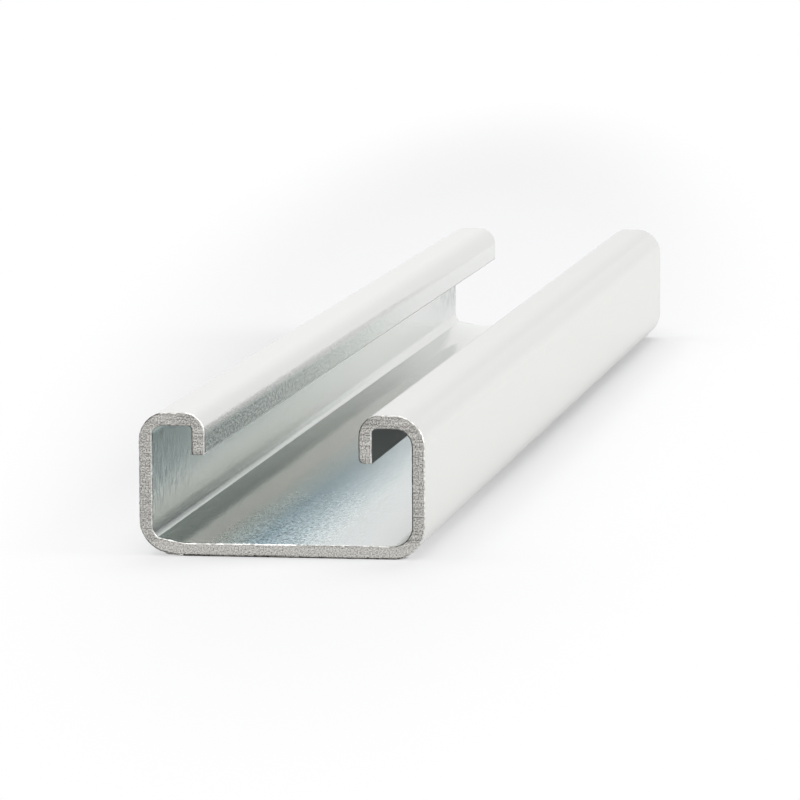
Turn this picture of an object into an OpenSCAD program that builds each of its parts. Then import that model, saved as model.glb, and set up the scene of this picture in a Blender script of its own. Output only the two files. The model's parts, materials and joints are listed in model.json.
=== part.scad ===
// Shallow strut channel: one short length of galvanised strip steel, cold roll-formed
// into a C section with two inturned lips and sawn square at both ends.
//
// Units are millimetres. The channel lies on the back of its web with its slot facing up:
// X runs across the section, Y along the channel and Z up. The origin is under the middle
// of the web, half way along. Left and right are seen from the -Y end.

/* [Section] */
// Width over the outside of the two side walls
section_w = 41.3; // [36:0.1:60]
// Height from the back of the web to the top of the flanges
section_h = 20.6; // [18:0.1:60]
// Thickness of the strip
sheet_t = 1.9; // [1.2:0.1:2.7]
// Width of the slot between the two lips
slot_w = 22.2; // [16:0.1:24]
// Depth of a lip below the top of its flange, where the strip ran true in the rolls
lip_depth = 6.5; // [5.8:0.1:9]
// How far the strip ran to the right in the rolls: the right lip gains it, the left one loses it
strip_wander = 0.45; // [0:0.05:0.6]

/* [Bends] */
// Inside radius of the bend between the left side wall and the web's lifted edge
left_web_bend_r = 2.1; // [0.5:0.1:2.6]
// Outside radius of the same bend
left_web_bend_outer_r = 4.6; // [4.4:0.1:5.4]
// Part of that bend's turn that is a sharp crease, pressed into its inside by a roll's corner
left_web_crease = 27.5; // [0:0.5:40]
// Inside radius of the bend between the web and the right side wall
right_web_bend_r = 2.9; // [1:0.1:4]
// Inside radius of the bend between the left side wall and its flange
left_shoulder_r = 1.3; // [0.5:0.1:2.6]
// Inside radius of the bend between the right side wall and its flange
right_shoulder_r = 2.6; // [0.5:0.1:2.6]
// Inside radius of the two bends between the flanges and the lips
lip_bend_r = 0.6; // [0.3:0.1:1.2]
// How much thinner the strip is in the middle of the left shoulder bend
left_shoulder_thinning = 0.3; // [0:0.05:0.4]
// How much thinner the strip is in the middle of each lip's bend
lip_bend_thinning = 0.2; // [0:0.05:0.3]

/* [Lifted edge of the web] */
// Angle between the web and its left edge, which the rolls left a little lifted
lift_angle = 11.5; // [4:0.5:15]
// Distance from the outside of the left wall to where the lift begins
lift_w = 6.2; // [5.5:0.1:8]
// Inside radius of the slight bend where the lift begins
lift_bend_r = 4; // [2:0.5:6]

/* [Slit edges] */
// Rounding of the left lip's slit edge, on the side that faces the slot
left_edge_round = 0.3; // [0.1:0.05:1]
// Rounding of the right lip's slit edge, on the side that faces the slot
right_edge_round = 0.8; // [0.1:0.05:1]

/* [Length] */
// Length between the two sawn ends
channel_l = 300; // [50:5:6000]

/* [Hidden] */
$fn = 96;

left_lip_depth = lip_depth - strip_wander;
right_lip_depth = lip_depth + strip_wander;
flange_w = (section_w - slot_w) / 2;

// Radius of the outer face of a square bend, from that of its inner face. A bend that was
// drawn thin in its middle is rounder on its outside, by a whole number of hundredths.
function outer(r, thinning = 0) = r + sheet_t + round(thinning / (sqrt(2) - 1) * 100) / 100;
right_web_bend_outer_r = outer(right_web_bend_r);
left_shoulder_outer_r = outer(left_shoulder_r, left_shoulder_thinning);
right_shoulder_outer_r = outer(right_shoulder_r);
lip_bend_outer_r = outer(lip_bend_r, lip_bend_thinning);
lift_bend_outer_r = outer(lift_bend_r);

// The corner under the left wall, measured from its point: the direction that the lifted edge
// faces, the centre of the lift's slight bend, how far up the wall the other bend reaches, and
// what the whole corner takes of the web and of the wall, in whole tenths
lifted = [sin(lift_angle), cos(lift_angle)];
lift_bend_centre = [lift_w + lift_bend_outer_r * tan(lift_angle / 2), lift_bend_outer_r];
left_web_bend_top = lift_w * tan(lift_angle) + left_web_bend_outer_r * tan(45 - lift_angle / 2);
left_corner_w = ceil(10 * lift_bend_centre[0]) / 10;
left_corner_h = ceil(10 * left_web_bend_top) / 10;

// The strip's section from the left lip's slit edge to the right one's, as the runs and
// the bends that a walk along it meets. Each run is what its two bends leave.
left_lip_run = left_lip_depth - left_edge_round - lip_bend_outer_r;
left_flange_run = flange_w - lip_bend_outer_r - left_shoulder_outer_r;
left_wall_run = section_h - left_shoulder_outer_r - left_corner_h;
web_run = section_w - left_corner_w - right_web_bend_outer_r;
right_wall_run = section_h - right_web_bend_outer_r - right_shoulder_outer_r;
right_flange_run = flange_w - right_shoulder_outer_r - lip_bend_outer_r;
right_lip_run = right_lip_depth - right_edge_round - lip_bend_outer_r;

STRIP = [
    ["first edge", left_edge_round],
    ["run", left_lip_run],
    ["bend", lip_bend_outer_r, lip_bend_r],
    ["run", left_flange_run],
    ["bend", left_shoulder_outer_r, left_shoulder_r],
    ["run", left_wall_run],
    ["left web corner", left_corner_h],
    ["run", web_run],
    ["bend", right_web_bend_outer_r, right_web_bend_r],
    ["run", right_wall_run],
    ["bend", right_shoulder_outer_r, right_shoulder_r],
    ["run", right_flange_run],
    ["bend", lip_bend_outer_r, lip_bend_r],
    ["run", right_lip_run],
    ["last edge", right_edge_round]
];

// Each step below starts at the origin and heads along +X. The strip's outer face lies on
// the X axis and its inner face, towards which all the bends turn, is sheet_t above it.

// A straight stretch of strip
module run(l) {
    square([l, sheet_t]);
}

// A square turn to the left: a quarter disc about the outer face's centre, less what is inside
module bend(outer_r, inner_r) {
    translate([0, outer_r])
        rotate(-90)
            difference() {
                intersection() {
                    circle(r = outer_r);
                    square(outer_r);
                }
                inside_of_bend(outer_r - sheet_t, inner_r);
            }
}

// The space inside a bend, up to the two flat inner faces, which are side away from the outer
// face's centre. It runs past both ends of the bend, so that nothing of them is left.
module inside_of_bend(side, r) {
    translate([side - r, side - r])
        circle(r = r);
    translate([0, -side])
        square([side, 2 * side - r]);
    translate([-side, 0])
        square([2 * side - r, side]);
}

// How deep a lifted edge's line cuts into a circle that it would otherwise only touch
bite = 0.0002;

// The corner under the left wall, with its point at the origin, the wall above it and the web
// to its right. Between its bend and the web lies the web's lifted edge.
module left_web_corner() {
    difference() {
        intersection() {
            corner_outside();
            square([left_corner_w, left_corner_h]);
        }
        corner_inside();
    }
}

// Everything within the corner's outer face
module corner_outside() {
    bend_centre = [left_web_bend_outer_r, left_web_bend_top];
    translate(bend_centre)
        circle(r = left_web_bend_outer_r);
    translate(lift_bend_centre)
        circle(r = lift_bend_outer_r);
    polygon([
        [0, left_corner_h],
        [0, bend_centre[1]],
        bend_centre - (left_web_bend_outer_r - bite) * lifted,
        lift_bend_centre - (lift_bend_outer_r - bite) * lifted,
        [lift_bend_centre[0], 0],
        [left_corner_w, 0],
        [left_corner_w, left_corner_h]
    ]);
}

// The space within its inner face. The bend leaves the wall smoothly and meets the lifted edge
// in the crease, which is all of the turn that the bend leaves over.
module corner_inside() {
    foot = [lift_w + sheet_t * tan(lift_angle / 2), sheet_t];
    bend_x = sheet_t + left_web_bend_r;
    bend_y = sheet_t + (foot[0] - bend_x) * tan(lift_angle)
        + left_web_bend_r * cos(left_web_crease) / cos(lift_angle);
    past = 2 * left_corner_w;
    intersection() {
        union() {
            translate([bend_x, bend_y])
                circle(r = left_web_bend_r);
            translate(lift_bend_centre)
                circle(r = lift_bend_r);
            polygon([
                [sheet_t, past],
                [sheet_t, bend_y],
                [bend_x, bend_y] - left_web_bend_r * (1 + cos(left_web_crease)) / 2 * lifted,
                lift_bend_centre - lift_bend_r * lifted,
                [lift_bend_centre[0], sheet_t],
                [past, sheet_t],
                [past, past]
            ]);
        }
        translate(foot + bite * lifted)
            rotate(-lift_angle)
                translate([-past, 0])
                    square([2 * past, past]);
    }
}

// The last stretch before a slit edge, its outer corner rounded where the knife went in
module slit_edge(r) {
    intersection() {
        translate([0, r])
            circle(r = r);
        square(r);
    }
    translate([0, r])
        square([r, sheet_t - r]);
}

// A slit edge that starts the strip faces the other way
module first_slit_edge(r) {
    translate([r, 0])
        mirror([1, 0])
            slit_edge(r);
}

// The strip from step k on: each step carries the rest of the strip on its end
module strip(steps, k = 0) {
    if (k < len(steps)) {
        kind = steps[k][0];
        size = steps[k][1];
        if (kind == "first edge") first_slit_edge(size);
        if (kind == "run") run(size);
        if (kind == "bend") bend(size, steps[k][2]);
        if (kind == "left web corner") translate([size, 0]) rotate(90) left_web_corner();
        if (kind == "last edge") slit_edge(size);
        rise = kind == "bend" ? size : kind == "left web corner" ? left_corner_w : 0;
        translate([size, rise])
            rotate(rise > 0 ? 90 : 0)
                strip(steps, k + 1);
    }
}

// The finished section, X across and Y up, its web's back on the X axis
module section() {
    translate([-slot_w / 2, section_h - left_lip_depth])
        rotate(90)
            strip(STRIP);
}

// The roll-formed strip, sawn to length
module channel() {
    color("#B4BCBF")
        rotate([90, 0, 0])
            linear_extrude(height = channel_l, center = true)
                section();
}

channel();
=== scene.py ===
# %% [markdown]
# # A short length of strut channel
# Strut channel is the steel rail that pipes, cable trays and shelves are hung from. It starts as a
# coil of thin strip that already has its zinc coat. A row of rolls bends the strip, a little more at
# each pair, into a C with two inturned lips, and a saw cuts the endless C into lengths.
#
# This lesson makes one 300 mm length. It has only one piece, so all the care goes into three things
# that make bent sheet metal look real: true bend radii, edges that aren't sharp, and a finish whose
# details have the right size. A solid model of the channel is loaded first, and the piece that is
# modelled here takes its place.

# %% Load the solid model as the frame
import json
import math

import bmesh
import bpy
from mathutils import Euler, Matrix, Vector

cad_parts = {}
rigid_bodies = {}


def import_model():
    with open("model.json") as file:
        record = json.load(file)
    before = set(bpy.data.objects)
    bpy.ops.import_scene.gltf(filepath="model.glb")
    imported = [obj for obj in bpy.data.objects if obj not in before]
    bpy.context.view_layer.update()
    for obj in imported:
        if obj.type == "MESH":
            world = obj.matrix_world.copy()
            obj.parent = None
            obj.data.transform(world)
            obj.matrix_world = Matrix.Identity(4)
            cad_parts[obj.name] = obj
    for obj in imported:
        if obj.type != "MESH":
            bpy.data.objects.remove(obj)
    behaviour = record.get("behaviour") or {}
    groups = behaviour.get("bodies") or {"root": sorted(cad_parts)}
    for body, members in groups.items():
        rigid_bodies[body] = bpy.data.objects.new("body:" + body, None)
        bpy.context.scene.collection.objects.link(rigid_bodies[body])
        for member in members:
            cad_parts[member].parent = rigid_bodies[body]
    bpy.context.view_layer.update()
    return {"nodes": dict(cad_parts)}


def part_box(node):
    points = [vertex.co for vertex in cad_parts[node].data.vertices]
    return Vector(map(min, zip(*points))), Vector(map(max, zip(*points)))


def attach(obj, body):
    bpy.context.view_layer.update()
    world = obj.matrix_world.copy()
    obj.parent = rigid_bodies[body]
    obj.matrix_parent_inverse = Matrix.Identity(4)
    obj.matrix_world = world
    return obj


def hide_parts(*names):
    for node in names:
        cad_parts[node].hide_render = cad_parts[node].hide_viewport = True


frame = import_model()
MM = 0.001
print("nodes of the solid model:", ", ".join(frame["nodes"]))

# %% [markdown]
# ## Sizes
# The outside of the section and the length come from the solid model. The rest are the sizes that a
# roll-former would write on the drawing: strip thickness, slot, lips, and the inside radius of every
# bend. A tight bend draws the strip thin, so its outside is rounder than the thickness alone would
# make it. The strip ran a little to the right in the rolls, so the right lip is deeper than the left.
# Left and right are as seen from the front end, looking along the channel.

# %% Sizes of the section
box_low, box_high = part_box("channel")
LEFT, RIGHT, TOP = box_low.x, box_high.x, box_high.z
FRONT_Y, FAR_Y = box_low.y, box_high.y

SHEET_T = 1.9 * MM
SLOT_W = 22.2 * MM
LEFT_LIP_DEPTH, RIGHT_LIP_DEPTH = 6.05 * MM, 6.95 * MM
LEFT_EDGE_ROUND, RIGHT_EDGE_ROUND = 0.3 * MM, 0.8 * MM
WEB_BEND_R = 2.9 * MM
LEFT_SHOULDER_R, RIGHT_SHOULDER_R = 1.3 * MM, 2.6 * MM
LIP_BEND_R = 0.6 * MM
LEFT_SHOULDER_THINNING, LIP_BEND_THINNING = 0.3 * MM, 0.2 * MM


def outer(inside_r, thinning=0):
    """The outside radius of a square bend that is thinner by so much in its middle."""
    return inside_r + SHEET_T + thinning / (math.sqrt(2) - 1)


lip_outer_r = outer(LIP_BEND_R, LIP_BEND_THINNING)
slot_left, slot_right = -SLOT_W / 2, SLOT_W / 2
left_foot, right_foot = TOP - LEFT_LIP_DEPTH, TOP - RIGHT_LIP_DEPTH
print(f"section {(RIGHT - LEFT) / MM:.1f} x {TOP / MM:.1f} mm")
print(f"outside radius of the lips' bends {lip_outer_r / MM:.2f} mm")

# %% [markdown]
# ## Selecting by place
# A modeller clicks on the edge or face they want. A script has no mouse, so it picks by place: a test
# that is true for the wanted vertices, edges or faces. Everything is deselected first, because an
# edit-mode operator acts on all that is selected.

# %% A helper that opens one object and one that picks in it
def edit_only(obj):
    """Deselects everything, then opens this one object in edit mode."""
    if bpy.context.mode != "OBJECT":
        bpy.ops.object.mode_set(mode="OBJECT")
    bpy.ops.object.select_all(action="DESELECT")
    obj.select_set(True)
    bpy.context.view_layer.objects.active = obj
    bpy.ops.object.mode_set(mode="EDIT")


def pick(obj, kind, wanted):
    """Selects only the vertices, edges or faces ("verts", "edges", "faces") that pass a test."""
    bpy.ops.mesh.select_mode(type={"verts": "VERT", "edges": "EDGE", "faces": "FACE"}[kind])
    bpy.ops.mesh.select_all(action="DESELECT")
    mesh = bmesh.from_edit_mesh(obj.data)
    chosen = [part for part in getattr(mesh, kind) if wanted(part)]
    for part in chosen:
        part.select_set(True)
    mesh.select_flush_mode()
    bmesh.update_edit_mesh(obj.data)
    return len(chosen)


# %% [markdown]
# ## The web's lifted edge
# The rolls didn't press the web flat all the way: its left edge is lifted by some degrees, from a
# slight bend up to the bend into the left wall. The corner of a roll pressed a crease into the inside
# of that second bend. It shows as a bright line along the foot of the wall, so it is drawn as one more
# corner of the inner face: a sharp one, with the rest of the turn as an arc above it.

# %% Corners of the lifted edge
LIFT_W, LIFT_ANGLE, LIFT_BEND_R = 6.2 * MM, math.radians(11.5), 4 * MM
CREASE_W, CREASE_ANGLE = 2.68 * MM, math.radians(27.5)
LEFT_WEB_BEND_R, LEFT_WEB_BEND_OUTER_R = 2.05 * MM, 4.6 * MM

lift_slope = math.tan(LIFT_ANGLE)
outer_foot_x = LEFT + LIFT_W
inner_foot_x = outer_foot_x + SHEET_T * math.tan(LIFT_ANGLE / 2)
crease_x = LEFT + CREASE_W
crease_z = SHEET_T + (inner_foot_x - crease_x) * lift_slope
above_crease = (CREASE_W - SHEET_T) * math.tan(LIFT_ANGLE + CREASE_ANGLE)
print(f"crease {crease_z / MM:.2f} mm up, edge lifted {LIFT_W * lift_slope / MM:.2f} mm at the wall")

# %% [markdown]
# ## The section, drawn with square corners
# The quickest way to draw a bent strip is the way it is drawn on paper: its square corners first, then
# a radius on each. The list goes round the outer face from the left lip's foot to the right lip's, and
# back along the inner face. Radius 0 leaves a corner sharp: the crease, and the corner of each slit
# edge that faces away from the slot.

# %% The corners: across, up, and the radius that each one gets
CORNERS = (
    (slot_left, left_foot, LEFT_EDGE_ROUND),
    (slot_left, TOP, lip_outer_r),
    (LEFT, TOP, outer(LEFT_SHOULDER_R, LEFT_SHOULDER_THINNING)),
    (LEFT, LIFT_W * lift_slope, LEFT_WEB_BEND_OUTER_R),
    (outer_foot_x, 0, outer(LIFT_BEND_R)),
    (RIGHT, 0, outer(WEB_BEND_R)),
    (RIGHT, TOP, outer(RIGHT_SHOULDER_R)),
    (slot_right, TOP, lip_outer_r),
    (slot_right, right_foot, RIGHT_EDGE_ROUND),
    (slot_right + SHEET_T, right_foot, 0),
    (slot_right + SHEET_T, TOP - SHEET_T, LIP_BEND_R),
    (RIGHT - SHEET_T, TOP - SHEET_T, RIGHT_SHOULDER_R),
    (RIGHT - SHEET_T, SHEET_T, WEB_BEND_R),
    (inner_foot_x, SHEET_T, LIFT_BEND_R),
    (crease_x, crease_z, 0),
    (LEFT + SHEET_T, crease_z + above_crease, LEFT_WEB_BEND_R),
    (LEFT + SHEET_T, TOP - SHEET_T, LEFT_SHOULDER_R),
    (slot_left - SHEET_T, TOP - SHEET_T, LIP_BEND_R),
    (slot_left - SHEET_T, left_foot, 0),
)
places = [Vector((x, FRONT_Y, z)) for x, z, radius in CORNERS]
radii = [radius for x, z, radius in CORNERS]
print("corners:", len(CORNERS), "of them sharp:", radii.count(0))

# %% One vertex, extruded from corner to corner, then filled
bpy.ops.object.select_all(action="DESELECT")
bpy.ops.mesh.primitive_plane_add(size=MM, location=(0, 0, 0))
channel = bpy.context.object
channel.name = channel.data.name = "channel_strip"
edit_only(channel)
bpy.ops.mesh.select_mode(type="VERT")
bpy.ops.mesh.select_all(action="SELECT")
bpy.ops.mesh.merge(type="CENTER")
bpy.ops.transform.translate(value=places[0])
for start, end in zip(places, places[1:]):
    bpy.ops.mesh.extrude_region_move(TRANSFORM_OT_translate={"value": end - start})
bpy.ops.mesh.select_all(action="SELECT")
bpy.ops.mesh.edge_face_add()
area = sum(face.calc_area() for face in bmesh.from_edit_mesh(channel.data).faces)
print(f"section with square corners: {area / MM**2:.0f} mm2")

# %% [markdown]
# ## Bends and cells
# A vertex bevel turns each square corner into a true arc. Then the straight edges are cut into cells of
# the same length as the steps of the arcs. A sawn rim isn't even, and it needs vertices to be uneven
# with: one cell is about as long as one nick of the saw.

# %% Round the corners
CELL = 0.25 * MM
FEWEST_STEPS = 4
SAME_PLACE = 0.001 * MM

for k, (place, radius) in enumerate(zip(places, radii)):
    if radius:
        before, after = places[k - 1], places[(k + 1) % len(places)]
        turn = (place - before).angle(after - place)
        steps = max(FEWEST_STEPS, round(radius * turn / CELL))
        pick(channel, "verts", lambda v: (v.co - place).length < SAME_PLACE)
        bpy.ops.mesh.bevel(
            offset=radius * math.tan(turn / 2), offset_type="OFFSET", segments=steps, affect="VERTICES"
        )
print("edges after rounding:", len(bmesh.from_edit_mesh(channel.data).edges))


# %% Cut the straight runs into cells
def middle_of(edge):
    """The point half way along an edge."""
    return sum((v.co for v in edge.verts), Vector()) / 2


outline = bmesh.from_edit_mesh(channel.data)
runs = [(middle_of(edge), edge.calc_length()) for edge in outline.edges]
for middle, length in runs:
    cuts = round(length / CELL) - 1
    if cuts > 0:
        pick(channel, "edges", lambda e: (middle_of(e) - middle).length < SAME_PLACE)
        bpy.ops.mesh.subdivide(number_cuts=cuts)
print("edges round the section:", len(bmesh.from_edit_mesh(channel.data).edges))

# %% [markdown]
# ## The length
# The flat C is extruded along the channel, the way that the rolls push it out. A few rows near each
# end follow the cut: the first leaves room for the rounded rim, and the next two keep the very long
# faces of the middle away from it.

# %% Extrude the section to its length
ROWS_FROM_END = (0.8 * MM, 4 * MM, 40 * MM)

pick(channel, "faces", lambda f: True)
rows = [FRONT_Y + r for r in ROWS_FROM_END] + [FAR_Y - r for r in reversed(ROWS_FROM_END)] + [FAR_Y]
reached = FRONT_Y
for row_y in rows:
    bpy.ops.mesh.extrude_region_move(TRANSFORM_OT_translate={"value": (0, row_y - reached, 0)})
    reached = row_y
bpy.ops.mesh.select_all(action="SELECT")
bpy.ops.mesh.normals_make_consistent(inside=False)
bpy.ops.object.mode_set(mode="OBJECT")
print("faces so far:", len(channel.data.polygons))

# %% [markdown]
# ## Materials: one small helper for nodes
# Every node is added by the same call: its kind, its own options, and what goes into its sockets. The
# patterns are worked out in millimetres of the piece itself, so that a pattern's scale can be read as
# so many per millimetre. Colours are written as a paint program shows them, and turned into amounts of
# light by the sRGB standard's own formula.

# %% Helpers for colours and nodes
def linear(hex_colour):
    """An sRGB hex colour as the linear values that a shader works in."""
    parts = [int(hex_colour[i : i + 2], 16) / 255 for i in (1, 3, 5)]
    return [p / 12.92 if p <= 0.04045 else ((p + 0.055) / 1.055) ** 2.4 for p in parts] + [1.0]


def add_node(tree, kind, inputs=None, **options):
    """Adds a node with its options, and sets or links its inputs."""
    made = tree.nodes.new(kind)
    for name, value in options.items():
        setattr(made, name, value)
    for socket, value in (inputs or {}).items():
        if isinstance(value, bpy.types.NodeSocket):
            tree.links.new(value, made.inputs[socket])
        else:
            made.inputs[socket].default_value = value
    return made


def new_material(name):
    """An empty material, its tree, and the place on the piece in millimetres."""
    material = bpy.data.materials.new(name)
    material.use_nodes = True
    tree = material.node_tree
    tree.nodes.clear()
    coords = add_node(tree, "ShaderNodeTexCoord")
    place = add_node(
        tree, "ShaderNodeVectorMath", {0: coords.outputs["Object"], "Scale": 1 / MM}, operation="SCALE"
    )
    return material, tree, place.outputs[0]


print(f"mid grey #808080 gives back {linear('#808080')[0]:.3f} of the light")

# %% [markdown]
# ## Pre-galvanised zinc
# The strip is galvanised as a coil: it runs through molten zinc, air knives wipe it, and it sets with
# crystals too small to see. To the eye it is a pale satin metal whose reflections are soft and a little
# uneven. What makes them uneven is relief. The coat has an orange-peel skin of shallow pebbles a
# millimetre or so across, in two sizes, the rolls draw long fine lines along it, and the sheet itself
# is never quite flat. None of the four is deeper than a twentieth of a millimetre, but at a low angle
# even that bends a reflection. They are heights in millimetres that one bump node takes as a sum.

# %% Zinc: the relief
ZINC_RELIEF = (
    # how many to a millimetre across, along and up the channel, and how deep in millimetres
    ((0.85, 0.5, 0.85), 0.02),  # large pebbles
    ((2.0, 0.6, 2.0), 0.035),  # small pebbles
    ((2.2, 0.05, 2.2), 0.0015),  # lines from the rolls
    ((0.05, 0.05, 0.05), 0.05),  # waves of the sheet
)
RELIEF_DETAIL = 1.0

zinc, tree, place = new_material("pregalvanised_zinc")
relief_height = 0.0
for per_mm, depth in ZINC_RELIEF:
    cell = add_node(tree, "ShaderNodeVectorMath", {0: place, 1: per_mm}, operation="MULTIPLY")
    lumps = add_node(
        tree, "ShaderNodeTexNoise", {"Vector": cell.outputs[0], "Scale": 1.0, "Detail": RELIEF_DETAIL}
    )
    relief_height = add_node(
        tree,
        "ShaderNodeMath",
        {0: lumps.outputs[0], 1: depth, 2: relief_height},
        operation="MULTIPLY_ADD",
    ).outputs[0]
relief = add_node(tree, "ShaderNodeBump", {"Height": relief_height, "Distance": MM})
print("layers of relief:", len(ZINC_RELIEF))

# %% [markdown]
# ### Where a finish lies
# The finish isn't the same all over. Each of its parts has a place, which is a few limits on where a
# point lies. A map range turns one limit into a share from 0 to 1, and the shares are multiplied. Two
# limits that lie close together give a sharp border, and two that lie far apart a slow change.

# %% Zinc: the places
spot = add_node(tree, "ShaderNodeSeparateXYZ", {0: place})
x, y, z = spot.outputs
out_from_middle = add_node(tree, "ShaderNodeMath", {0: x}, operation="ABSOLUTE").outputs[0]
to_an_end = add_node(tree, "ShaderNodeMath", {0: y}, operation="ABSOLUTE").outputs[0]
# the height less the distance from the middle, which is greatest on the outside of a lip's bend
over_lip_bends = add_node(
    tree, "ShaderNodeMath", {0: z, 1: out_from_middle}, operation="SUBTRACT"
).outputs[0]
PLACES = {
    # a coordinate, and the millimetres at which the share is none and is full
    "inside": (
        (out_from_middle, 19.2, 18.9),
        (z, 0.6, 1.6),
        (z, 19.8, 18.8),
        (over_lip_bends, 6.7, 6.4),
    ),
    "far part": ((y, -75.0, 60.0),),
    "right flange": ((x, 10.9, 12.0), (z, 19.4, 20.0)),
    "right outside": ((x, 20.2, 20.6),),
    "above the crease": ((x, -17.5, -18.1), (z, 2.75, 3.0), (z, 5.0, 3.6), (y, -20.0, -120.0)),
    "slot faces": (
        (out_from_middle, 11.3, 11.15),
        (z, 14.3, 14.9),
        (over_lip_bends, 6.5, 6.2),
        (y, 20.0, -130.0),
    ),
    "behind the right lip": ((x, 11.6, 12.6), (x, 18.6, 16.0), (z, 12.0, 13.5), (z, 19.2, 18.8)),
    "left wall's ends": (
        (x, -18.0, -18.6),
        (x, -19.6, -19.2),
        (z, 4.5, 8.0),
        (z, 19.0, 17.0),
        (to_an_end, 110.0, 145.0),
    ),
    "web's ends": ((to_an_end, 60.0, 145.0), (z, 2.6, 2.0), (x, -13.0, -8.0), (x, 10.0, 3.0)),
}
share = {}
for part, limits in PLACES.items():
    share[part] = 1.0
    for coordinate, none_at, full_at in limits:
        within = add_node(
            tree, "ShaderNodeMapRange", {"Value": coordinate, "From Min": none_at, "From Max": full_at}
        )
        share[part] = add_node(
            tree, "ShaderNodeMath", {0: within.outputs[0], 1: share[part]}, operation="MULTIPLY"
        ).outputs[0]
print("places:", ", ".join(share))

# %% [markdown]
# ### The film on the zinc, and painted shade beside the crease
# New zinc is dipped once more, in a chromate bath that keeps it from turning white in store. That
# leaves a film thinner than the wavelength of light. To the eye it tints the coat a little: greenish,
# warm or blue from place to place across the strip. A colour ramp holds the tints, and what it is read
# at is the way round the strip: across the web, and then up the walls. Beside the crease the ramp
# also holds painted light: a painted shade on the bend above the crease, and the painted dark
# reflection on the lifted web.

# %% Zinc: the tint of the film, and painted shade beside the crease
FILM_AND_SHADE_TINTS = (
    # how far round the strip from the middle of the web in millimetres, and the tint there
    (-34.0, "#A9C0BB"),
    (-29.0, "#BBCAC5"),
    (-24.8, "#D6DDD8"),
    (-21.5, "#CBD2CC"),
    # painted light: -20.0 is shade on the bend above the crease, -17.5 and -15.5 the dark reflection
    # beside it
    (-20.0, "#A8B0AB"),
    (-19.0, "#C4CBC6"),
    (-17.5, "#8F9791"),
    (-15.5, "#8E958F"),
    (-13.5, "#D6D3CC"),
    (-11.0, "#E8E1DA"),
    (-8.0, "#D0DAD8"),
    (-4.0, "#8FA9B6"),
    (1.0, "#A8BBC3"),
    (6.0, "#CDD4D5"),
    (16.0, "#CED0CF"),
)

ramp_from, ramp_to = FILM_AND_SHADE_TINTS[0][0], FILM_AND_SHADE_TINTS[-1][0]
print(f"tints: {len(FILM_AND_SHADE_TINTS)} over {ramp_to - ramp_from:.0f} mm of strip")

# %% Zinc: how far round the strip a point lies
side = add_node(tree, "ShaderNodeMath", {0: x}, operation="SIGN")
above_web = add_node(tree, "ShaderNodeMath", {0: z, 1: SHEET_T / MM}, operation="SUBTRACT")
up_wall = add_node(tree, "ShaderNodeMath", {0: above_web.outputs[0], 1: 0.0}, operation="MAXIMUM")
round_strip = add_node(
    tree, "ShaderNodeMath", {0: up_wall.outputs[0], 1: side.outputs[0], 2: x}, operation="MULTIPLY_ADD"
)
print(f"from the middle of the web round to the top of a wall: {(RIGHT + TOP - SHEET_T) / MM:.0f} mm")

# %% Zinc: the ramp of tints, with borders that wander
FILM_DRIFT = 1.5  # how far the tints wander in millimetres
FILM_CLOUDS_PER_MM = (0.25, 0.05, 0.25)

cloud_cell = add_node(
    tree, "ShaderNodeVectorMath", {0: place, 1: FILM_CLOUDS_PER_MM}, operation="MULTIPLY"
)
clouds = add_node(tree, "ShaderNodeTexNoise", {"Vector": cloud_cell.outputs[0], "Scale": 1.0})
drifted = add_node(
    tree,
    "ShaderNodeMath",
    {0: clouds.outputs[0], 1: FILM_DRIFT, 2: round_strip.outputs[0]},
    operation="MULTIPLY_ADD",
)
# the noise is a half on average, so the whole ramp moves by half the drift
film = add_node(
    tree,
    "ShaderNodeMapRange",
    {
        "Value": drifted.outputs[0],
        "From Min": ramp_from + FILM_DRIFT / 2,
        "From Max": ramp_to + FILM_DRIFT / 2,
    },
)
film_and_shade_tint = add_node(tree, "ShaderNodeValToRGB", {0: film.outputs[0]})
stops = film_and_shade_tint.color_ramp.elements
while len(stops) < len(FILM_AND_SHADE_TINTS):
    stops.new(1.0)
for stop, (at, colour) in zip(stops, FILM_AND_SHADE_TINTS):
    stop.position, stop.color = (at - ramp_from) / (ramp_to - ramp_from), linear(colour)
print("stops of the ramp:", len(stops))

# %% [markdown]
# ### A paler far part, painted light, and what the rolls and the saw's clamp left
# Towards the far part of the channel the inside turns paler and barely tinted. Three layers are painted
# light. The right wall's outside is painted a little paler, as the bright paper beside it lights it,
# and the right flange is painted a little darker. A band of painted shade on the bend above the crease,
# strongest near the front, keeps the crease's highlight thin. Each of these is one more layer of
# colour, to be mixed in by its share.

# %% Zinc: the film, and painted light on the right side and above the crease
# paler and barely tinted towards the far part of the channel
FAR_PART_TINT = "#DEE0DD"
# painted light: a darker right flange, a paler right wall outside, and painted shade above the crease
PAINTED_SHADE_RIGHT_FLANGE, PAINTED_LIGHT_RIGHT_WALL, PAINTED_SHADE_ABOVE_CREASE = "#C9C9C7", "#D9D9D5", "#78817D"

film_and_shade_colour = add_node(
    tree,
    "ShaderNodeMix",
    {0: share["far part"], 6: film_and_shade_tint.outputs[0], 7: linear(FAR_PART_TINT)},
    data_type="RGBA",
)
layers = [
    (share["inside"], film_and_shade_colour.outputs[2]),
    (share["right flange"], linear(PAINTED_SHADE_RIGHT_FLANGE)),
    (share["right outside"], linear(PAINTED_LIGHT_RIGHT_WALL)),
    (share["above the crease"], linear(PAINTED_SHADE_ABOVE_CREASE)),
]
print("layers without marks:", len(layers))

# %% [markdown]
# Two more layers are marks that only cover part of their place. The last rolls scuffed the faces of the
# slot: the scuffs are a millimetre or so long and a third of that high. They are dark and many enough
# to darken the slot faces on the whole, and that part of them is painted shade, the dark inside that
# these faces mirror. Where the saw's clamp held the left wall, near both ends, it left upright strokes
# two millimetres high. A noise gives both their shape: a mark starts where the noise passes one value
# and is full where it passes another.

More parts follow.
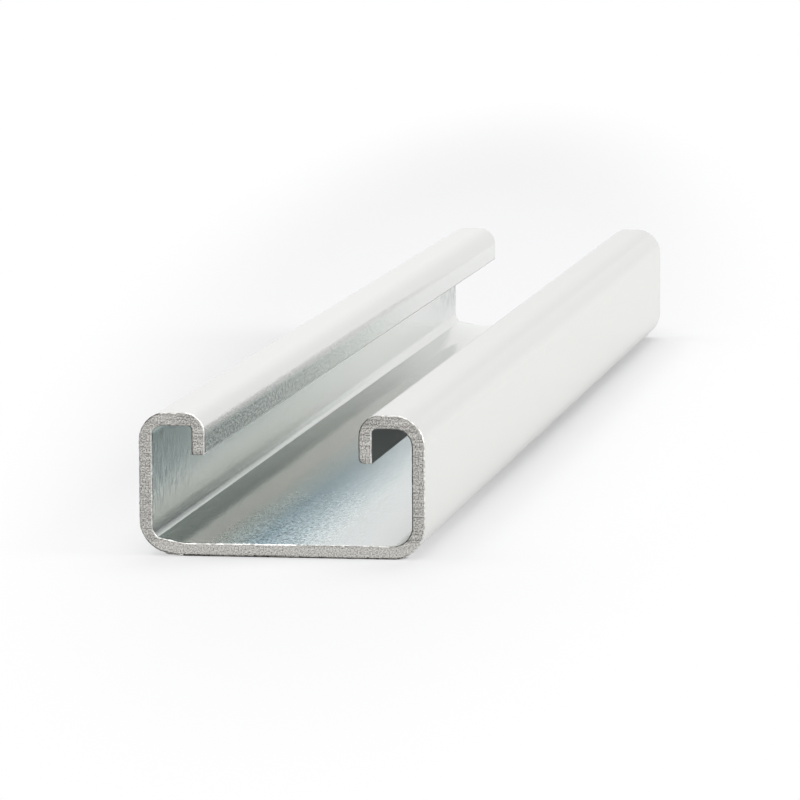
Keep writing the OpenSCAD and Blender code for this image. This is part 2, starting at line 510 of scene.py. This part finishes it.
# %% Zinc: scuffs, partly painted shade, and strokes
MARKS = (
    # where, how many to a millimetre, the noise at which they start and are full, and their shade
    # the scuffs are partly painted shade: they darken the slot faces as the dark inside they mirror
    # does
    ("slot faces", (0.9, 0.8, 2.8), 0.43, 0.6, "#727C79"),
    ("left wall's ends", (0.2, 1.7, 0.5), 0.45, 0.6, "#86928E"),
)
MARKS_DETAIL = 5.0

for where, per_mm, none_at, full_at, shade in MARKS:
    cell = add_node(tree, "ShaderNodeVectorMath", {0: place, 1: per_mm}, operation="MULTIPLY")
    marks = add_node(
        tree, "ShaderNodeTexNoise", {"Vector": cell.outputs[0], "Scale": 1.0, "Detail": MARKS_DETAIL}
    )
    marked = add_node(
        tree,
        "ShaderNodeMapRange",
        {"Value": marks.outputs[0], "From Min": none_at, "From Max": full_at},
    )
    marked_here = add_node(
        tree, "ShaderNodeMath", {0: marked.outputs[0], 1: share[where]}, operation="MULTIPLY"
    )
    layers.append((marked_here.outputs[0], linear(shade)))
print("layers with marks:", len(layers))

# %% Zinc: all layers over the bare coat
BARE_TINT = "#D2D2D0"

zinc_colour = linear(BARE_TINT)
for how_much, colour in layers:
    zinc_colour = add_node(
        tree, "ShaderNodeMix", {0: how_much, 6: zinc_colour, 7: colour}, data_type="RGBA"
    ).outputs[2]
print("nodes so far:", len(tree.nodes))

# %% [markdown]
# ### Crystals, and painted shade behind the right lip
# Near the ends of the web the machine's brush opened the coat, and its crystals are coarse enough to
# see, half a millimetre across and a millimetre long. Some are dull and some bright, so they go into
# the roughness. Behind the right lip, in the pocket where little light reaches, painted shade goes
# over the zinc: a dark, dull shader of its own that isn't a metal, mixed over the zinc.

# %% Zinc: the crystals
CRYSTALS_PER_MM, CRYSTALS_DETAIL = (2.2, 1.0, 2.2), 3.0
BRIGHT_UNDER, DULL_OVER = 0.35, 0.65  # values of the noise
ZINC_ROUGHNESS = 0.22
BRIGHT_CRYSTAL, DULL_CRYSTAL = -0.05, 0.14  # what each adds to the roughness

crystal_cell = add_node(
    tree, "ShaderNodeVectorMath", {0: place, 1: CRYSTALS_PER_MM}, operation="MULTIPLY"
)
crystals = add_node(
    tree,
    "ShaderNodeTexNoise",
    {"Vector": crystal_cell.outputs[0], "Scale": 1.0, "Detail": CRYSTALS_DETAIL},
)
duller = add_node(
    tree,
    "ShaderNodeMapRange",
    {
        "Value": crystals.outputs[0],
        "From Min": BRIGHT_UNDER,
        "From Max": DULL_OVER,
        "To Min": BRIGHT_CRYSTAL,
        "To Max": DULL_CRYSTAL,
    },
)
zinc_roughness = add_node(
    tree,
    "ShaderNodeMath",
    {0: share["web's ends"], 1: duller.outputs[0], 2: ZINC_ROUGHNESS},
    operation="MULTIPLY_ADD",
)
print(f"roughness {ZINC_ROUGHNESS + BRIGHT_CRYSTAL:.2f} to {ZINC_ROUGHNESS + DULL_CRYSTAL:.2f}")

# %% Zinc: the shader, and painted shade behind the right lip over it
ZINC_METALLIC = 0.8  # the film takes some of a clean metal's mirror away
# painted shade in the pocket behind the right lip: a dark, dull non-metal mixed over the zinc
POCKET_SHADE, POCKET_SHADE_SHARE, POCKET_SHADE_ROUGHNESS = "#414944", 0.85, 0.6

zinc_shader = add_node(
    tree,
    "ShaderNodeBsdfPrincipled",
    {
        "Base Color": zinc_colour,
        "Metallic": ZINC_METALLIC,
        "Roughness": zinc_roughness.outputs[0],
        "Normal": relief.outputs[0],
    },
)
pocket_shade_shader = add_node(
    tree, "ShaderNodeBsdfPrincipled", {"Base Color": linear(POCKET_SHADE), "Roughness": POCKET_SHADE_ROUGHNESS}
)
pocket_shaded = add_node(
    tree, "ShaderNodeMath", {0: share["behind the right lip"], 1: POCKET_SHADE_SHARE}, operation="MULTIPLY"
)
zinc_with_pocket_shade = add_node(
    tree,
    "ShaderNodeMixShader",
    {0: pocket_shaded.outputs[0], 1: zinc_shader.outputs[0], 2: pocket_shade_shader.outputs[0]},
)
add_node(tree, "ShaderNodeOutputMaterial", {"Surface": zinc_with_pocket_shade.outputs[0]})
print(zinc.name, "nodes:", len(tree.nodes))

# %% [markdown]
# ## Sawn steel
# The ends are bare mild steel, cut by a cold saw. Each tooth leaves a fine line across the cut, some
# four to the millimetre, and tears the steel into a grain of a few tenths of a millimetre. To the eye
# the cut is a matt, speckled grey: the grain catches the light in points, so lines and grain go into
# the colour as well as into the relief. The blade went out through the web, where the steel was
# smeared more than cut and has no lines. The foot of the cut is also made a little paler.

# %% Sawn steel: lines and grain
SAW_LINES_PER_MM, SAW_GRAIN_PER_MM = (0.2, 1.0, 4.0), (5.0, 1.0, 5.0)
LINE_SHARE, GRAIN_SHARE = 0.33, 0.67
SMEARED_BELOW, CUT_ABOVE, PALER_AT_FOOT = 1.4, 2.6, 0.045  # heights in millimetres, and a share

sawn, tree, place = new_material("sawn_steel")
height = add_node(tree, "ShaderNodeSeparateXYZ", {0: place}).outputs["Z"]
line_share = add_node(
    tree,
    "ShaderNodeMapRange",
    {"Value": height, "From Min": SMEARED_BELOW, "From Max": CUT_ABOVE, "To Max": LINE_SHARE},
)
# where the lines are gone their mean is put back, or the foot would turn dark, and a little more to
# pale it
cut_height = add_node(
    tree,
    "ShaderNodeMapRange",
    {
        "Value": height,
        "From Min": CUT_ABOVE,
        "From Max": SMEARED_BELOW,
        "To Max": LINE_SHARE / 2 + PALER_AT_FOOT,
    },
).outputs[0]
for per_mm, part in ((SAW_LINES_PER_MM, line_share.outputs[0]), (SAW_GRAIN_PER_MM, GRAIN_SHARE)):
    cell = add_node(tree, "ShaderNodeVectorMath", {0: place, 1: per_mm}, operation="MULTIPLY")
    marks = add_node(tree, "ShaderNodeTexNoise", {"Vector": cell.outputs[0], "Scale": 1.0})
    cut_height = add_node(
        tree,
        "ShaderNodeMath",
        {0: marks.outputs[0], 1: part, 2: cut_height},
        operation="MULTIPLY_ADD",
    ).outputs[0]
print(f"lines {1 / SAW_LINES_PER_MM[2]:.2f} mm apart, grain {1 / SAW_GRAIN_PER_MM[0]:.2f} mm")

# %% Sawn steel: the shader
DARK_UNDER, PALE_OVER = 0.4, 0.61  # values of the cut's height
SAWN_DARK, SAWN_PALE = "#73726F", "#D8D6D1"
SAWN_DEPTH, SAWN_ROUGHNESS = 0.05 * MM, 0.5

torn = add_node(
    tree, "ShaderNodeMapRange", {"Value": cut_height, "From Min": DARK_UNDER, "From Max": PALE_OVER}
)
sawn_colour = add_node(
    tree,
    "ShaderNodeMix",
    {0: torn.outputs[0], 6: linear(SAWN_DARK), 7: linear(SAWN_PALE)},
    data_type="RGBA",
)
cut = add_node(tree, "ShaderNodeBump", {"Height": cut_height, "Distance": SAWN_DEPTH})
sawn_shader = add_node(
    tree,
    "ShaderNodeBsdfPrincipled",
    {
        "Base Color": sawn_colour.outputs[2],
        "Metallic": 1.0,
        "Roughness": SAWN_ROUGHNESS,
        "Normal": cut.outputs[0],
    },
)
add_node(tree, "ShaderNodeOutputMaterial", {"Surface": sawn_shader.outputs[0]})
print(sawn.name, "nodes:", len(tree.nodes))

# %% [markdown]
# ## Rims
# The saw drags zinc over the edge of the cut, and dust from the cut sticks to it: to the eye a thin,
# dull, dark outline. Over that the rims carry painted light, chosen by the way each one looks. The
# rims that look right, and the left part of the web's inner rim, get a painted highlight: a bright
# line. The rims that look left, but for those on the channel's own left side, and those on which the
# channel lies get the dark outline with painted shade, the dark side of an edge and the contact
# shadow. The other rims that look up or down, and those on the channel's own left side, stay plain.
# So there are three finishes, each with darker and paler patches that are a few tenths of a
# millimetre wide.

# %% Rims: dark with painted shade, plain, and with a painted highlight
RIM_KINDS = (
    # name, darker shade and paler shade
    ("dark_rim_and_painted_shade", "#302F2D", "#6E6D69"),
    ("plain_rim", "#7E7D79", "#B4B3AF"),
    ("rim_painted_highlight", "#B9B8B4", "#E4E4E1"),
)
RIM_PATCHES_PER_MM, RIM_PATCHES_DETAIL = 2.5, 2.0
DARKER_UNDER, PALER_OVER = 0.4, 0.6  # values of the noise
RIM_ROUGHNESS = 0.35

rims = []
for name, dark, pale in RIM_KINDS:
    rim, tree, place = new_material(name)
    patches = add_node(
        tree,
        "ShaderNodeTexNoise",
        {"Vector": place, "Scale": RIM_PATCHES_PER_MM, "Detail": RIM_PATCHES_DETAIL},
    )
    rubbed = add_node(
        tree,
        "ShaderNodeMapRange",
        {"Value": patches.outputs[0], "From Min": DARKER_UNDER, "From Max": PALER_OVER},
    )
    rim_colour = add_node(
        tree,
        "ShaderNodeMix",
        {0: rubbed.outputs[0], 6: linear(dark), 7: linear(pale)},
        data_type="RGBA",
    )
    rim_shader = add_node(
        tree,
        "ShaderNodeBsdfPrincipled",
        {"Base Color": rim_colour.outputs[2], "Metallic": 1.0, "Roughness": RIM_ROUGHNESS},
    )
    add_node(tree, "ShaderNodeOutputMaterial", {"Surface": rim_shader.outputs[0]})
    rims.append(rim)
print("rim finishes:", ", ".join(rim.name for rim in rims))

# %% [markdown]
# ## The slit edge
# The feet of the lips are where the coil was slit, before it was bent. They are bare steel too, but
# sheared, which leaves it smoother than sawn: to the eye a pale, half-dull line with streaks along the
# strip, some seven millimetres long and a third of a millimetre wide.

# %% Slit steel
SLIT_STREAKS_PER_MM = (3.0, 0.15, 3.0)
SLIT_DARK, SLIT_PALE = "#B4B4B1", "#EDEDEA"
SLIT_METALLIC, SLIT_ROUGHNESS = 0.5, 0.5  # bare steel that has dulled a little in store

slit, tree, place = new_material("slit_steel")
streak_cell = add_node(
    tree, "ShaderNodeVectorMath", {0: place, 1: SLIT_STREAKS_PER_MM}, operation="MULTIPLY"
)
streaks = add_node(tree, "ShaderNodeTexNoise", {"Vector": streak_cell.outputs[0], "Scale": 1.0})
slit_colour = add_node(
    tree,
    "ShaderNodeMix",
    {0: streaks.outputs[0], 6: linear(SLIT_DARK), 7: linear(SLIT_PALE)},
    data_type="RGBA",
)
slit_shader = add_node(
    tree,
    "ShaderNodeBsdfPrincipled",
    {
        "Base Color": slit_colour.outputs[2],
        "Metallic": SLIT_METALLIC,
        "Roughness": SLIT_ROUGHNESS,
    },
)
add_node(tree, "ShaderNodeOutputMaterial", {"Surface": slit_shader.outputs[0]})
print(slit.name, "nodes:", len(tree.nodes))

# %% [markdown]
# ## Which face gets which finish
# All finishes are given to the one piece, and each face holds the number of its own. A face is told by
# where it looks and where it lies: the cuts look along the channel, and the slit edges look down near
# the slot, above the web. This comes before the rims are rounded, so that a rim can be found as the
# edge between a sawn face and a long one.

# %% Give each face its finish
ZINC, SAWN, SLIT, DARK_RIM_AND_SHADE, PLAIN, PAINTED_HIGHLIGHT_RIM = range(6)
SQUARELY, SLIGHTLY = 0.9, 0.1  # how much of a normal points the way that its face is said to look

for material in (zinc, sawn, slit, *rims):
    channel.data.materials.append(material)


def looks_along(face):
    """Whether a face looks along the channel, as the two cuts do."""
    return abs(face.normal.y) > SQUARELY


def finish_of(face):
    """Sawn steel on the cuts, slit steel on the lips' feet, and zinc on all the rest."""
    if looks_along(face):
        return SAWN
    of_slit_edge = face.normal.z < -SLIGHTLY and abs(face.center.x) < slot_right + SHEET_T
    return SLIT if of_slit_edge and face.center.z > SHEET_T else ZINC


for face in channel.data.polygons:
    face.material_index = finish_of(face)
finishes = [face.material_index for face in channel.data.polygons]
print("faces of zinc, sawn and slit:", [finishes.count(kind) for kind in (ZINC, SAWN, SLIT)])

# %% [markdown]
# ## Rounding the rims
# A saw leaves a rim that is neither sharp nor even, and the wire brush at the end of the line knocks it
# down to a small round. The bevel's width follows a weight on each edge of the rim, and a weight of 1
# gives the full width: that is what the edges underneath the web get, where the blade came out. The
# operator adds to the weight that an edge has, so they only need the rest.

# %% Weigh the rim's edges
RIM_WIDEST = 0.3 * MM
RIM_WEIGHT, MORE_UNDERNEATH = 0.6, 0.4
UNDERNEATH_TO = 0.01 * MM


def at_end(co, within=SAME_PLACE):
    """Whether a place is within this distance of one of the two cuts."""
    return abs(co.y - FRONT_Y) < within or abs(co.y - FAR_Y) < within


def is_rim(edge):
    """An edge between a sawn face and a long face."""
    ends = [looks_along(face) for face in edge.link_faces]
    return len(ends) == 2 and ends[0] != ends[1] and all(at_end(v.co) for v in edge.verts)


def is_underneath(edge):
    """A rim's edge on which the channel lies."""
    return is_rim(edge) and all(v.co.z < UNDERNEATH_TO for v in edge.verts)


edit_only(channel)
print("rim edges:", pick(channel, "edges", is_rim))
bpy.ops.transform.edge_bevelweight(value=RIM_WEIGHT)
print("rim edges underneath:", pick(channel, "edges", is_underneath))
bpy.ops.transform.edge_bevelweight(value=MORE_UNDERNEATH)
bpy.ops.object.mode_set(mode="OBJECT")

# %% Round the rims and give the rounds their own finish
RIM_STEPS = 4
OWN_LEFT_SIDE_TO = LEFT + 1 * MM
HIGHLIGHT_TO = 2 * MM  # how far across the web's inner rim is bright

bevel = channel.modifiers.new("rims", "BEVEL")
bevel.width = RIM_WIDEST
bevel.segments = RIM_STEPS
bevel.limit_method = "WEIGHT"
bevel.material = DARK_RIM_AND_SHADE
bevel.use_clamp_overlap = False
bpy.ops.object.modifier_apply(modifier=bevel.name)


def rim_of(face):
    """A rim face's finish by where it lies and looks: painted shade, plain or a painted highlight."""
    # lying on the floor or looking left: the dark rim with painted shade
    is_under = face.normal.z < -SLIGHTLY and face.center.z < RIM_WIDEST
    looks_left = face.normal.x < -SLIGHTLY and face.center.x > OWN_LEFT_SIDE_TO
    if is_under or looks_left:
        return DARK_RIM_AND_SHADE
    # the left part of the web's inner rim, and rims that look right: a painted highlight
    if face.normal.z > SLIGHTLY and face.center.z < SHEET_T + RIM_WIDEST:
        return PAINTED_HIGHLIGHT_RIM if face.center.x < HIGHLIGHT_TO else PLAIN
    return PAINTED_HIGHLIGHT_RIM if face.normal.x > SLIGHTLY else PLAIN


rim_faces = [face for face in channel.data.polygons if face.material_index == DARK_RIM_AND_SHADE]
for face in rim_faces:
    face.material_index = rim_of(face)
print("faces on the rims:", len(rim_faces))

# %% [markdown]
# ## Nicks
# The nicks come last. Everything but the rims is hidden, and some of their vertices, taken at random,
# are moved a little in any direction. Half of them move by next to nothing, a fifth a little more, and
# one in twenty is a real nick. The seeds are fixed, so every run gives the same piece.

# %% Nick the rims
NICKS = (
    # share of the rims' vertices, seed, and how far they are moved at most
    (0.5, 3, 0.02 * MM),
    (0.2, 8, 0.05 * MM),
    (0.05, 5, 0.12 * MM),
)
NICK_EVENNESS = 0.3  # the least that a vertex is moved, as a share of the most

edit_only(channel)
print("rim vertices:", pick(channel, "verts", lambda v: at_end(v.co, RIM_WIDEST)))
bpy.ops.mesh.hide(unselected=True)
for ratio, seed, reach in NICKS:
    bpy.ops.mesh.select_all(action="DESELECT")
    bpy.ops.mesh.select_random(ratio=ratio, seed=seed)
    bpy.ops.transform.vertex_random(offset=reach, uniform=NICK_EVENNESS, seed=seed)
bpy.ops.mesh.reveal(select=False)
bpy.ops.object.mode_set(mode="OBJECT")

# %% [markdown]
# ## Shading
# The steps of an arc have to look like one round, and the flats beside it like flats. Smoothing by
# angle rounds every edge that turns less than a limit, and keeps the crease and the slit edges sharp.
# A weighted normal then follows the larger face at each vertex, so that the round stays in the bend.

# %% Smooth the bends and rims, and keep the flats flat
SMOOTH_UP_TO = math.radians(27)  # half a degree less than the crease turns
WEIGHT_OF_LARGE_FACES = 80

bpy.ops.object.shade_smooth_by_angle(angle=SMOOTH_UP_TO)
even = channel.modifiers.new("flats stay flat", "WEIGHTED_NORMAL")
even.keep_sharp = True
even.weight = WEIGHT_OF_LARGE_FACES
bpy.ops.object.modifier_apply(modifier=even.name)
print("faces with rims:", len(channel.data.polygons))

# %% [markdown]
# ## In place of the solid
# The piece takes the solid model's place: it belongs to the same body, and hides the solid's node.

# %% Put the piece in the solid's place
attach(channel, "root")
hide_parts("channel")
print("pieces:", channel.name)

# %% [markdown]
# ## Floor
# The piece lies on white paper, which is a wide flat disc. Close to the piece the paper keeps its own
# pale grey, the piece's shadow and what the lamps give it. Farther out it turns to plain white, as
# paper does that is lit much brighter than the piece on it. It turns white only for rays from the
# camera and for those that a mirror or a glass passes on, so that the metal mirrors white there too.
# All other rays find plain paper everywhere, and the floor doesn't glow on what lies on it.

# %% Paper floor
FLOOR_RADIUS, FLOOR_CORNERS = 6, 128  # metres, and corners of the disc
PAPER, WHITE = "#E3E3E4", (1, 1, 1, 1)

bpy.ops.object.select_all(action="DESELECT")
bpy.ops.mesh.primitive_circle_add(
    vertices=FLOOR_CORNERS, radius=FLOOR_RADIUS, fill_type="NGON", location=(0, 0, 0)
)
floor = bpy.context.object
floor.name = floor.data.name = "paper_floor"
paper, tree, place = new_material("white_paper")
floor.data.materials.append(paper)
paper_shader = add_node(tree, "ShaderNodeBsdfDiffuse", {"Color": linear(PAPER)})
plain_white = add_node(tree, "ShaderNodeEmission", {"Color": WHITE, "Strength": 1.0})
print(f"floor: {2 * FLOOR_RADIUS} m across")


# %% Which rays see white
def seen_directly(tree):
    """1 for a ray that comes from the camera, a mirror or a glass, and 0 for one that only lights."""
    path = add_node(tree, "ShaderNodeLightPath")
    seen = 0.0
    for kind in ("Is Camera Ray", "Is Glossy Ray", "Is Transmission Ray"):
        either = add_node(tree, "ShaderNodeMath", {0: path.outputs[kind], 1: seen}, operation="MAXIMUM")
        seen = either.outputs[0]
    return seen


# %% Where the paper turns white
# an ellipse on the floor in millimetres, round the piece and what shows behind it, and its slant
PAPER_CENTRE, PAPER_SIZE, PAPER_SLANT = (-8.0, 235.0, 0.0), (61.0, 500.0, 1.0), 0.1
WHITE_FROM, WHITE_TO = 0.5, 1.2  # shares of the ellipse's size

spot = add_node(tree, "ShaderNodeSeparateXYZ", {0: place})
slanted = add_node(
    tree,
    "ShaderNodeMath",
    {0: spot.outputs["Y"], 1: PAPER_SLANT, 2: spot.outputs["X"]},
    operation="MULTIPLY_ADD",
)
slanted_place = add_node(
    tree, "ShaderNodeCombineXYZ", {"X": slanted.outputs[0], "Y": spot.outputs["Y"]}
)
from_centre = add_node(
    tree, "ShaderNodeVectorMath", {0: slanted_place.outputs[0], 1: PAPER_CENTRE}, operation="SUBTRACT"
)
in_sizes = add_node(
    tree, "ShaderNodeVectorMath", {0: from_centre.outputs[0], 1: PAPER_SIZE}, operation="DIVIDE"
)
how_far = add_node(tree, "ShaderNodeVectorMath", {0: in_sizes.outputs[0]}, operation="LENGTH")
beyond = add_node(
    tree,
    "ShaderNodeMapRange",
    {"Value": how_far.outputs["Value"], "From Min": WHITE_FROM, "From Max": WHITE_TO},
    interpolation_type="SMOOTHSTEP",
)
shows_white = add_node(
    tree, "ShaderNodeMath", {0: beyond.outputs[0], 1: seen_directly(tree)}, operation="MULTIPLY"
)
paper_seen = add_node(
    tree,
    "ShaderNodeMixShader",
    {0: shows_white.outputs[0], 1: paper_shader.outputs[0], 2: plain_white.outputs[0]},
)
add_node(tree, "ShaderNodeOutputMaterial", {"Surface": paper_seen.outputs[0]})
print(f"all white {PAPER_CENTRE[1] + WHITE_TO * PAPER_SIZE[1]:.0f} mm behind the middle of the piece")

# %% [markdown]
# ## World
# Round the floor there is only light: a dim, even one that fills the shadows. Seen directly it is
# plain white, as the floor's far part is, so no horizon shows, and the metal has white to mirror.

# %% World
WORLD_LIGHT = 0.1

bpy.ops.world.new()
world = bpy.data.worlds[-1]
bpy.context.scene.world = world
world.use_nodes = True
tree = world.node_tree
tree.nodes.clear()
lit = add_node(tree, "ShaderNodeBackground", {"Color": WHITE, "Strength": WORLD_LIGHT})
shown = add_node(tree, "ShaderNodeBackground", {"Color": WHITE, "Strength": 1.0})
mixed = add_node(
    tree, "ShaderNodeMixShader", {0: seen_directly(tree), 1: lit.outputs[0], 2: shown.outputs[0]}
)
add_node(tree, "ShaderNodeOutputWorld", {"Surface": mixed.outputs[0]})
print("world gives", WORLD_LIGHT, "of white as light")

# %% [markdown]
# ## Lamps
# Four softboxes a metre wide stand round the piece and look at its middle. Large lamps close by give
# soft shadows and wide highlights. The one on the right is the strongest, because it also has to reach
# into the channel, past the right lip, and light the left wall.

# %% Softboxes
SOFTBOX_SIZE = 1.0
AIM = Vector((0, 0, 0))
SOFTBOXES = (
    # name, place in metres, and watts
    ("back_softbox", (0, 0.9, 1.1), 8.5),
    ("front_softbox", (0, -0.8, 1.2), 6.5),
    ("right_softbox", (1.3, 0, 0.6), 16),
    ("left_softbox", (-0.8, 0, 1.2), 9),
)

for name, location, watts in SOFTBOXES:
    bpy.ops.object.light_add(type="AREA", location=location)
    lamp = bpy.context.object
    lamp.name = name
    lamp.data.shape = "SQUARE"
    lamp.data.size = SOFTBOX_SIZE
    lamp.data.energy = watts
    lamp.rotation_euler = (AIM - Vector(location)).to_track_quat("-Z", "Y").to_euler()
all_watts = sum(watts for name, location, watts in SOFTBOXES)
print(f"softboxes: {len(SOFTBOXES)}, with {all_watts:.0f} W in all")

# %% [markdown]
# ## Camera
# The camera stands a metre away in front, low and a little to the right, and looks into the channel.
# From there a long lens lets the piece fill the view, and the far end shrinks only a little.

# %% Camera
CAMERA_PLACE = Vector((147.6, -987.4, 122.3)) * MM
AZIMUTH, ELEVATION, ROLL = math.radians(8.857), math.radians(6.691), math.radians(-0.244)
LENS = 271.2  # focal length in millimetres, on a sensor 36 mm wide
NEAREST, FARTHEST = 0.01, 50  # metres

turn = Euler((math.pi / 2 - ELEVATION, 0, AZIMUTH)).to_matrix() @ Matrix.Rotation(ROLL, 3, "Z")
bpy.ops.object.camera_add(location=CAMERA_PLACE, rotation=turn.to_euler())
camera = bpy.context.object
camera.data.lens = LENS
camera.data.clip_start, camera.data.clip_end = NEAREST, FARTHEST
bpy.context.scene.camera = camera
bpy.context.scene.view_settings.view_transform = "Standard"
print(f"camera {CAMERA_PLACE.length:.2f} m away, {math.degrees(camera.data.angle):.1f} degrees wide")
